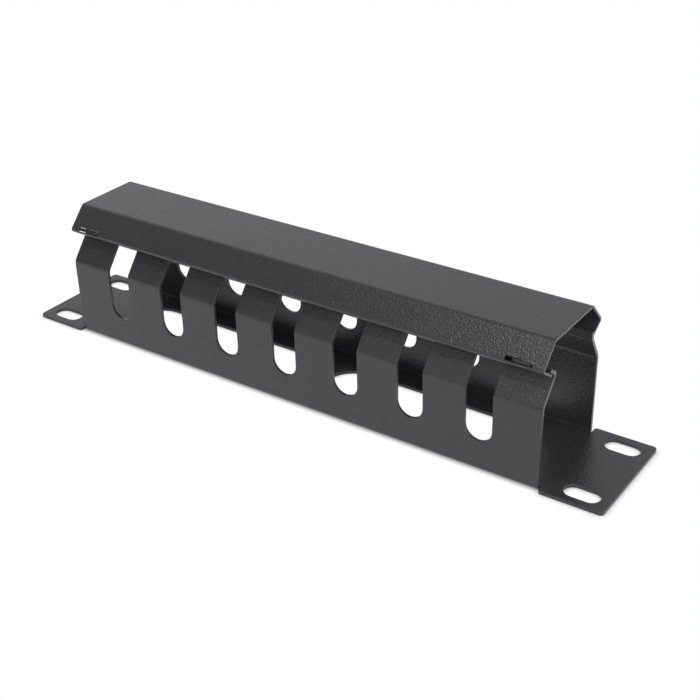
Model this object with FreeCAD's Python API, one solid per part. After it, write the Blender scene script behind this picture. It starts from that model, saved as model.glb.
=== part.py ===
import FreeCAD, Part
import math
import os

V = FreeCAD.Vector
os.makedirs("parts", exist_ok=True)

# Ten-inch rack, one unit high. X runs along the rack's width, Y is the unit's height, Z points out of the rack.
rack_width = 254.0
unit_height = 44.45
rack_hole_pitch_y = 31.75

# Sheet metal
channel_sheet = 1.2
cover_sheet = 0.8
channel_bend = 0.5
wall_bend = 3.0
cover_bend = 1.2
fold_bend = 0.4

# Channel section: upright walls, fingers leaning in to a waist, hooks turned out above the waist
channel_width = 41.6
wall_bend_z = 31.2
waist_half_width = 13.3
waist_z = 40.53
hook_angle = 34.5
hook_length = 4.05
rear_bend_z = 40.3
rear_tip_rise = 2.6

# Cable slots, open at the top: both walls have the same row, the rear one set a little to the side
slot_count = 7
slot_width = 10.48
end_finger_width = 17.62
slot_floor_z = 11.35
rear_slot_shift = -0.8

# Base plate: two long openings, ears with a slot at each corner
base_opening_width = 21.6
base_end_margin = 11.2
base_bridge = 9.1
ear_length = 23.8
ear_slot_length = 13.0
ear_slot_width = 7.0
ear_slot_inset = 10.1
ear_corner_radius = 1.5
ear_root_radius = 1.0
relief_width = 0.6

# Cover section: flat top, flanges at forty-five degrees, lips folded back under
cover_end_play = 1.1
cover_offset_x = 0.3
cover_height = 53.35
cover_top_width = 27.5
fold_half_width = 21.7
front_lip_length = 8.2
rear_lip_length = 6.7

# Windows in the cover's front flange and the tabs of the end fingers that reach into them
window_width = 10.2
window_height = 2.0
window_edge = 0.55
window_inset = 9.4
tab_width = 7.1
tab_inset = 9.3
tab_corner_radius = 1.2

# Clearances of the moving fit
hook_gap = 0.4
tab_gap = 0.3
rear_gap = 0.4
over = 5.0


def unit(a, b):
    d = math.hypot(b[0] - a[0], b[1] - a[1])
    return ((b[0] - a[0]) / d, (b[1] - a[1]) / d)


def meet(p, d, q, e):
    s = ((q[0] - p[0]) * e[1] - (q[1] - p[1]) * e[0]) / (d[0] * e[1] - d[1] * e[0])
    return (p[0] + s * d[0], p[1] + s * d[1])


def shifted(path, t):
    # The path moved to its left by the sheet's thickness, corners kept sharp.
    dirs = [unit(a, b) for a, b in zip(path, path[1:])]
    left = [(-d[1] * t, d[0] * t) for d in dirs]
    out = [(path[0][0] + left[0][0], path[0][1] + left[0][1])]
    for i in range(1, len(path) - 1):
        p = (path[i][0] + left[i - 1][0], path[i][1] + left[i - 1][1])
        q = (path[i][0] + left[i][0], path[i][1] + left[i][1])
        out.append(meet(p, dirs[i - 1], q, dirs[i]))
    out.append((path[-1][0] + left[-1][0], path[-1][1] + left[-1][1]))
    return out


def rounded(path, radii):
    # Edges of an open path in the YZ plane, each inner corner rounded to its radius.
    at = lambda p: V(0, p[0], p[1])
    edges = []
    start = path[0]
    for i in range(1, len(path) - 1):
        a = unit(path[i - 1], path[i])
        b = unit(path[i], path[i + 1])
        turn = math.acos(max(-1.0, min(1.0, a[0] * b[0] + a[1] * b[1])))
        cut = radii[i - 1] * math.tan(turn / 2)
        p = (path[i][0] - a[0] * cut, path[i][1] - a[1] * cut)
        q = (path[i][0] + b[0] * cut, path[i][1] + b[1] * cut)
        bis = unit((0, 0), (b[0] - a[0], b[1] - a[1]))
        deep = radii[i - 1] * (1 / math.cos(turn / 2) - 1)
        mid = (path[i][0] + bis[0] * deep, path[i][1] + bis[1] * deep)
        edges.append(Part.LineSegment(at(start), at(p)).toShape())
        edges.append(Part.Arc(at(p), at(mid), at(q)).toShape())
        start = q
    edges.append(Part.LineSegment(at(start), at(path[-1])).toShape())
    return edges


def folded(path, sheet, bends, x0, x1):
    # A folded strip: the path is its outer face, the sheet lies to the left, each bend has its inner radius.
    inner = shifted(path, sheet)
    near = []
    far = []
    for i in range(1, len(path) - 1):
        a = unit(path[i - 1], path[i])
        b = unit(path[i], path[i + 1])
        to_left = a[0] * b[1] - a[1] * b[0] > 0
        near.append(bends[i - 1] + (sheet if to_left else 0))
        far.append(bends[i - 1] + (0 if to_left else sheet))
    edges = rounded(path, near)
    edges.append(Part.LineSegment(V(0, *path[-1]), V(0, *inner[-1])).toShape())
    edges += rounded(inner[::-1], far[::-1])
    edges.append(Part.LineSegment(V(0, *inner[0]), V(0, *path[0])).toShape())
    face = Part.Face(Part.Wire(Part.__sortEdges__(edges)))
    face.translate(V(x0, 0, 0))
    return face.extrude(V(x1 - x0, 0, 0))


def prism(points, x0, x1):
    # A solid with the given outline in the YZ plane, from x0 to x1.
    corners = [V(x0, y, z) for y, z in points]
    return Part.Face(Part.makePolygon(corners + corners[:1])).extrude(V(x1 - x0, 0, 0))


def obround(length, width, x, y, z0, z1):
    # A round-ended cutter standing on Z, long in X.
    r = width / 2
    h = length / 2 - r
    body = Part.makeBox(2 * h, width, z1 - z0, V(x - h, y - r, z0))
    for side in (-1, 1):
        body = body.fuse(Part.makeCylinder(r, z1 - z0, V(x + side * h, y, z0)))
    return body.removeSplitter()


def slab(x0, x1, half_width, thickness):
    return Part.makeBox(x1 - x0, 2 * half_width, thickness, V(x0, -half_width, 0))


# Lengths and places along the rack's width
wall_length = rack_width - 2 * ear_length
half_length = wall_length / 2
slot_pitch = (wall_length - 2 * end_finger_width - slot_width) / (slot_count - 1)
base_opening_length = (wall_length - base_bridge) / 2 - base_end_margin
ear_slot_x = rack_width / 2 - ear_slot_inset
cover_length = wall_length - cover_end_play
tab_centre = half_length - tab_inset
window_centre = half_length - window_inset

# Directions in the front half of the section, as (y, z)
hook = math.radians(hook_angle)
hook_dir = (-math.cos(hook), math.sin(hook))
hook_up = (math.sin(hook), math.cos(hook))
half_wall = channel_width / 2
front_waist = (-waist_half_width, waist_z)


def on_hook(length, lift):
    # A point of the front hook: the distance out from the waist, and the height over its lower face.
    y = front_waist[0] + hook_dir[0] * length + hook_up[0] * lift
    z = front_waist[1] + hook_dir[1] * length + hook_up[1] * lift
    return (y, z)


# Cover's outer section, front half: top corner, fold, lip tip
top_corner = (-cover_top_width / 2, cover_height)
lip_face = on_hook(0, -hook_gap - cover_sheet)
fold_z = meet(lip_face, hook_dir, (-fold_half_width, 0), (0, 1))[1]
fold = (-fold_half_width, fold_z)


def lip_end(length):
    # The outer corner at the end of a lip of the given length.
    return (fold[0] - hook_dir[0] * length, fold[1] - hook_dir[1] * length)


lip_tip = lip_end(front_lip_length)

# The cover turns about the tip of its front lip, which lies in the waist under the hooks
hinge_y = lip_tip[0] + hook_up[0] * cover_sheet / 2
hinge_z = lip_tip[1] + hook_up[1] * cover_sheet / 2

# The tabs stop short of the inner face of the front flange, so that it passes them as the cover turns
flange_dir = unit(fold, top_corner)
flange_in = (flange_dir[1], -flange_dir[0])
reach = (fold[0] - hinge_y) * flange_in[0] + (fold[1] - hinge_z) * flange_in[1]
swing = abs(reach) - cover_sheet - tab_gap
root = on_hook(0, channel_sheet)
along = (root[0] - hinge_y) * hook_dir[0] + (root[1] - hinge_z) * hook_dir[1]
across = (root[0] - hinge_y) * hook_up[0] + (root[1] - hinge_z) * hook_up[1]
tab_length = math.sqrt(swing ** 2 - across ** 2) - along

# The rear fingers end upright, just inside the path of the rear lip
rear_lip_tip = lip_end(rear_lip_length)
lip_inner_y = -rear_lip_tip[0] - hook_up[0] * cover_sheet
rear_tip_y = lip_inner_y - rear_gap
rear_tip_z = rear_bend_z + rear_tip_rise

# Channel: one strip folded along its whole length, then cut
section = [on_hook(tab_length, 0), front_waist, (-half_wall, wall_bend_z), (-half_wall, 0)]
section += [(half_wall, 0), (half_wall, wall_bend_z), (rear_tip_y, rear_bend_z), (rear_tip_y, rear_tip_z)]
half_bends = [channel_bend, wall_bend, channel_bend]
channel = folded(section, channel_sheet, half_bends + half_bends[::-1], -half_length, half_length)

# Base plate and ears
bend_line = half_wall - channel_bend - channel_sheet
ear_root = half_length + relief_width
ear_slots_cut = []
for side in (-1, 1):
    inner_x = side * ear_root
    outer_x = side * rack_width / 2
    ear = slab(min(inner_x, outer_x), max(inner_x, outer_x), unit_height / 2, channel_sheet)
    corners = {False: [], True: []}
    for edge in ear.Edges:
        upright = abs(edge.Vertexes[0].Z - edge.Vertexes[1].Z) > channel_sheet / 2
        if upright:
            corners[abs(edge.Vertexes[0].X) > ear_root + relief_width].append(edge)
    ear = ear.makeFillet(ear_corner_radius, corners[True])
    roots = []
    for edge in ear.Edges:
        ends = [v.Point for v in edge.Vertexes]
        if len(ends) == 2 and abs(ends[0].z - ends[1].z) > channel_sheet / 2:
            if abs(abs(ends[0].x) - ear_root) < 0.01:
                roots.append(edge)
    ear = ear.makeFillet(ear_root_radius, roots)
    channel = channel.fuse(ear)
    for level in (-1, 1):
        place = (side * ear_slot_x, level * rack_hole_pitch_y / 2)
        ear_slots_cut.append(obround(ear_slot_length, ear_slot_width, *place, -over, over))
channel = channel.fuse(slab(-ear_root - over, ear_root + over, bend_line, channel_sheet)).removeSplitter()
for cutter in ear_slots_cut:
    channel = channel.cut(cutter)

# Long openings in the base, side by side with a bridge between
for side in (-1, 1):
    x = side * (base_bridge + base_opening_length) / 2
    channel = channel.cut(obround(base_opening_length, base_opening_width, x, 0, -over, over))

# Cable slots through both walls
radius = slot_width / 2
deep = unit_height + over
low = slot_floor_z + radius
for i in range(slot_count):
    for side, shift in ((-1, 0), (1, rear_slot_shift)):
        x = (i - (slot_count - 1) / 2) * slot_pitch + shift
        gap = Part.makeBox(slot_width, deep, cover_height, V(x - radius, min(0, side * deep), low))
        gap = gap.fuse(Part.makeCylinder(radius, deep, V(x, 0, low), V(0, side, 0)))
        channel = channel.cut(gap.removeSplitter())

# Hooks cut back everywhere except at the two tabs
beyond = [on_hook(hook_length, -over), on_hook(hook_length + 2 * over, -over)]
beyond += [on_hook(hook_length + 2 * over, over), on_hook(hook_length, over)]
tab_low = tab_centre - tab_width / 2
tab_high = tab_centre + tab_width / 2
for x0, x1 in ((-half_length - over, -tab_high), (-tab_low, tab_low), (tab_high, half_length + over)):
    channel = channel.cut(prism(beyond, x0, x1))

# Tab corners rounded
tip = on_hook(tab_length, channel_sheet / 2)
round_edges = []
for edge in channel.Edges:
    if len(edge.Vertexes) == 2:
        a, b = [v.Point for v in edge.Vertexes]
        mid = (a + b) / 2
        near_tip = math.hypot(mid.y - tip[0], mid.z - tip[1]) < 0.05
        if near_tip and abs(a.x - b.x) < 0.01:
            round_edges.append(edge)
channel = channel.makeFillet(tab_corner_radius, round_edges)

# Cover: one folded strip with two windows in its front flange
mirror = lambda p: (-p[0], p[1])
outline = [lip_tip, fold, top_corner, mirror(top_corner), mirror(fold), mirror(rear_lip_tip)]
cover_x0 = cover_offset_x - cover_length / 2
cover_x1 = cover_offset_x + cover_length / 2
bends = [fold_bend, cover_bend, cover_bend, fold_bend]
cover = folded(outline[::-1], cover_sheet, bends[::-1], cover_x0, cover_x1)


def on_flange(up, depth):
    # A point of the front flange: the distance up from the fold, and the depth under its outer face.
    y = fold[0] + flange_dir[0] * up + flange_in[0] * depth
    z = fold[1] + flange_dir[1] * up + flange_in[1] * depth
    return (y, z)


window_low = window_edge
window_high = window_edge + window_height
window = [on_flange(window_low, -over), on_flange(window_high, -over)]
window += [on_flange(window_high, cover_sheet + fold_bend), on_flange(window_low, cover_sheet + fold_bend)]
for side in (-1, 1):
    x = side * window_centre
    cover = cover.cut(prism(window, x - window_width / 2, x + window_width / 2))

print("hinge", round(hinge_y, 3), round(hinge_z, 3), "tab", round(tab_length, 3))
print("fold", round(fold_z, 3), "rear tip", round(rear_tip_y, 3), round(rear_tip_z, 3))
for name, shape in (("slotted_channel", channel), ("hinged_cover", cover)):
    solid = shape.Solids[0]
    box = solid.BoundBox
    print(name, len(shape.Solids), solid.isValid(), round(solid.Volume, 1), box)
    solid.exportStep("parts/" + name + ".step")
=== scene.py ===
import bpy
from mathutils import Matrix, Vector

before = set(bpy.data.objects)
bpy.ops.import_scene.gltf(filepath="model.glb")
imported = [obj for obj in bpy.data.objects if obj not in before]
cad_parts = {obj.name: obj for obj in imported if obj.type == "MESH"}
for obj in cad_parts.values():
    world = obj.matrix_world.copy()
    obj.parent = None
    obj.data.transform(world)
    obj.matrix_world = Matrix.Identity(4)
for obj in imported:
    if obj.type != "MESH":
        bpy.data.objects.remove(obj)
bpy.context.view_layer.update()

scene = bpy.context.scene

# Camera: the rows of VIEW point right, down and forward in the photograph, and SHIFT is the
# object's origin along those rows, in metres from the camera
PHOTO_SIZE = 700
FOCAL_PX = 1267.26
SENSOR_WIDTH = 36.0
VIEW = (
    (0.824502918, 0.565479021, -0.020698206),
    (0.264403767, -0.417340724, -0.869435086),
    (-0.500285505, 0.711379081, -0.493613428),
)
SHIFT = Vector((-0.011781917, 0.010232272, 0.482570792))

# Charcoal powder coat, with lengths in metres
COAT_COLOUR = (0.050, 0.050, 0.056)
COAT_IOR = 1.46
COAT_ROUGHNESS = 0.23
ROUGHNESS_SPREAD = 0.03
CLOUD_SPREAD = 0.05
SPECK_SPREAD = 0.03
CELL_SCALE = 1450.0
CELL_SMOOTHNESS = 0.6
CELL_HEIGHT = 0.5
PEEL_HEIGHT = 0.9
GRAIN_HEIGHT = 0.08
BUMP_DEPTH = 0.00011
EDGE_RADIUS = 0.00035
EDGE_SAMPLES = 6
EDGE_FLAT = 0.995
EDGE_FULL = 0.85
# The gain lightens the coat along the sheet's edges as a painted highlight
PAINTED_HIGHLIGHT_GAIN = 1.2

# Noise textures as (scale in cells to the metre, detail, roughness), and the range that they mostly fill
PEEL = (1950.0, 1.0, 0.4)
GRAIN = (5200.0, 2.0, 0.6)
CLOUDS = (22.0, 3.0, 0.5)
SPECKS = (2600.0, 1.0, 0.5)
SHEEN_PATCHES = (60.0, 3.0, 0.6)
NOISE_LOW = 0.3
NOISE_HIGH = 0.7

# Floor, seen as white up to a narrow contact shadow
FLOOR_HALF = 6.0
FLOOR_LEVEL = -0.00005
FLOOR_CORNERS = ((-1, -1), (1, -1), (1, 1), (-1, 1))
FLOOR_COLOUR = 0.8
CONTACT_REACH = 0.0022
CONTACT_SAMPLES = 8
CONTACT_OPEN = 0.97

# Soft glows of the studio as (direction, cosine at the edge, cosine at the core, level)
GLOWS = {
    "back": ((-0.54, 0.71, 0.44), 0.45, 0.78, 0.42),
    "backleft": ((-0.90, 0.50, 0.30), 0.30, 0.98, 0.37),
    "frontup": ((-0.22, -0.85, 0.48), 0.88, 0.99, 1.15),
    "right": ((1.0, -0.2, 0.1), 0.3, 0.85, 1.75),
}

# Small lamps that pick out the orange peel, as (place, power)
LAMPS = {
    "spark": ((-0.28, -0.43, 0.83), 0.25),
    "glint": ((-0.10, -0.45, 0.84), 0.86),
}
LAMP_SIZE = 0.07
LAMP_AIM = Vector((0.0, 0.0, 0.03))


def empty_tree(owner):
    owner.use_nodes = True
    owner.node_tree.nodes.clear()
    return owner.node_tree


def node(tree, kind, **sockets):
    made = tree.nodes.new("ShaderNode" + kind)
    for name, value in sockets.items():
        made.inputs[name].default_value = value
    return made


def math_node(tree, operation, *values):
    """Floats are set and sockets are linked."""
    made = node(tree, "Math")
    made.operation = operation
    for socket, value in zip(made.inputs, values):
        if isinstance(value, float):
            socket.default_value = value
        else:
            tree.links.new(value, socket)
    return made.outputs[0]


def dot_product(tree, vector):
    """The node, with its second input still to be given."""
    made = node(tree, "VectorMath")
    made.operation = "DOT_PRODUCT"
    tree.links.new(vector, made.inputs[0])
    return made


def map_range(tree, value, low, high, to_low, to_high, smooth=False):
    made = node(tree, "MapRange")
    made.interpolation_type = "SMOOTHSTEP" if smooth else "LINEAR"
    tree.links.new(value, made.inputs[0])
    for i, number in enumerate((low, high, to_low, to_high)):
        made.inputs[i + 1].default_value = number
    return made.outputs[0]


def noise(tree, place, scale, detail, roughness):
    made = node(tree, "TexNoise", Scale=scale, Detail=detail, Roughness=roughness)
    tree.links.new(place, made.inputs["Vector"])
    return made.outputs["Fac"]


def spread(tree, wave, middle, reach):
    """Noise brought to swing by reach on either side of middle."""
    return map_range(tree, wave, NOISE_LOW, NOISE_HIGH, middle - reach, middle + reach)


def powder_coat(name):
    """Orange-peel skin with a fine grain, a cloudy tone and a painted highlight along the sheet's edges.
    """
    material = bpy.data.materials.new(name)
    tree = empty_tree(material)
    link = tree.links.new
    place = node(tree, "TexCoord").outputs["Object"]

    # Edges of the sheet, found where a rounded normal leaves the true one; a highlight is painted into
    # the colour along them
    bevel = node(tree, "Bevel", Radius=EDGE_RADIUS)
    bevel.samples = EDGE_SAMPLES
    flatness = dot_product(tree, bevel.outputs[0])
    link(node(tree, "NewGeometry").outputs["True Normal"], flatness.inputs[1])
    painted_edge_highlight = map_range(tree, flatness.outputs["Value"], EDGE_FLAT, EDGE_FULL, 0.0, 1.0)

    # Orange peel: rounded cells under a millimetre across, with a finer grain over them
    cells = node(tree, "TexVoronoi")
    cells.feature = "SMOOTH_F1"
    cells.inputs["Scale"].default_value = CELL_SCALE
    cells.inputs["Smoothness"].default_value = CELL_SMOOTHNESS
    link(place, cells.inputs["Vector"])
    height = math_node(tree, "MULTIPLY", cells.outputs["Distance"], CELL_HEIGHT)
    height = math_node(tree, "MULTIPLY_ADD", noise(tree, place, *PEEL), PEEL_HEIGHT, height)
    height = math_node(tree, "MULTIPLY_ADD", noise(tree, place, *GRAIN), GRAIN_HEIGHT, height)
    bump = node(tree, "Bump", Strength=1.0, Distance=BUMP_DEPTH)
    link(height, bump.inputs["Height"])
    link(bevel.outputs[0], bump.inputs["Normal"])

    # Tone: slow clouds, faint specks and a painted highlight along the edges
    cloud = spread(tree, noise(tree, place, *CLOUDS), 1.0, CLOUD_SPREAD)
    speck = spread(tree, noise(tree, place, *SPECKS), 1.0, SPECK_SPREAD)
    tone = math_node(tree, "MULTIPLY", cloud, speck)
    # Painted highlight: the colour is made paler where the sheet's edges would catch light
    tone = math_node(tree, "MULTIPLY_ADD", painted_edge_highlight, PAINTED_HIGHLIGHT_GAIN, tone)
    shade = node(tree, "VectorMath")
    shade.operation = "SCALE"
    shade.inputs[0].default_value = COAT_COLOUR
    link(tone, shade.inputs["Scale"])

    rough = spread(tree, noise(tree, place, *SHEEN_PATCHES), COAT_ROUGHNESS, ROUGHNESS_SPREAD)
    shader = node(tree, "BsdfPrincipled", Metallic=0.0, IOR=COAT_IOR)
    link(shade.outputs[0], shader.inputs["Base Color"])
    link(rough, shader.inputs["Roughness"])
    link(bump.outputs[0], shader.inputs["Normal"])
    link(shader.outputs[0], node(tree, "OutputMaterial").inputs["Surface"])
    return material


def white_paper():
    """White where it is seen, darker close to the object, and plain diffuse for the light it returns."""
    material = bpy.data.materials.new("paper")
    material.cycles.emission_sampling = "NONE"
    tree = empty_tree(material)
    link = tree.links.new
    path = node(tree, "LightPath")
    seen = math_node(tree, "MAXIMUM", path.outputs["Is Camera Ray"], path.outputs["Is Glossy Ray"])
    seen = math_node(tree, "MAXIMUM", seen, path.outputs["Is Transmission Ray"])
    contact = node(tree, "AmbientOcclusion", Distance=CONTACT_REACH)
    contact.samples = CONTACT_SAMPLES
    level = map_range(tree, contact.outputs["AO"], 0.0, CONTACT_OPEN, 0.0, 1.0)
    white = node(tree, "Emission")
    link(level, white.inputs["Strength"])
    diffuse = node(tree, "BsdfDiffuse", Color=(FLOOR_COLOUR, FLOOR_COLOUR, FLOOR_COLOUR, 1.0))
    sheet = node(tree, "MixShader")
    link(seen, sheet.inputs[0])
    link(diffuse.outputs[0], sheet.inputs[1])
    link(white.outputs[0], sheet.inputs[2])
    link(sheet.outputs[0], node(tree, "OutputMaterial").inputs["Surface"])
    return material


def studio():
    """White to the camera, and dark with soft glows as a light and in reflections."""
    world = bpy.data.worlds.new("studio")
    tree = empty_tree(world)
    link = tree.links.new
    direction = node(tree, "TexCoord").outputs["Generated"]
    total = None
    for towards, low, high, level in GLOWS.values():
        facing = dot_product(tree, direction)
        facing.inputs[1].default_value = Vector(towards).normalized()
        glow = map_range(tree, facing.outputs["Value"], low, high, 0.0, level, smooth=True)
        total = glow if total is None else math_node(tree, "ADD", total, glow)
    path = node(tree, "LightPath").outputs
    straight = math_node(tree, "MAXIMUM", path["Is Camera Ray"], path["Is Transmission Ray"])
    seen = node(tree, "Mix", B=1.0)
    link(straight, seen.inputs["Factor"])
    link(total, seen.inputs["A"])
    background = node(tree, "Background")
    link(seen.outputs["Result"], background.inputs["Color"])
    link(background.outputs[0], node(tree, "OutputWorld").inputs["Surface"])
    return world


for name in ("slotted_channel", "hinged_cover"):
    material = powder_coat(name + "_coat")
    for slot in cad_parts[name].material_slots:
        slot.material = material

floor_mesh = bpy.data.meshes.new("floor")
corners = [(x * FLOOR_HALF, y * FLOOR_HALF, FLOOR_LEVEL) for x, y in FLOOR_CORNERS]
floor_mesh.from_pydata(corners, [], [(0, 1, 2, 3)])
floor_mesh.materials.append(white_paper())
floor = bpy.data.objects.new("floor", floor_mesh)
scene.collection.objects.link(floor)

scene.world = studio()

for name, (place, power) in LAMPS.items():
    lamp_data = bpy.data.lights.new(name, "AREA")
    lamp_data.shape = "SQUARE"
    lamp_data.size = LAMP_SIZE
    lamp_data.energy = power
    lamp = bpy.data.objects.new(name, lamp_data)
    lamp.location = place
    lamp.rotation_euler = (LAMP_AIM - lamp.location).to_track_quat("-Z", "Y").to_euler()
    scene.collection.objects.link(lamp)

right, down, forward = (Vector(row) for row in VIEW)
place = Matrix.Translation(-(Matrix(VIEW).transposed() @ SHIFT))
turn = Matrix((right, -down, -forward)).transposed()
camera_data = bpy.data.cameras.new("camera")
camera_data.sensor_width = SENSOR_WIDTH
camera_data.lens = FOCAL_PX / PHOTO_SIZE * SENSOR_WIDTH
camera = bpy.data.objects.new("camera", camera_data)
camera.matrix_world = place @ turn.to_4x4()
scene.collection.objects.link(camera)
scene.camera = camera
scene.view_settings.view_transform = "Standard"
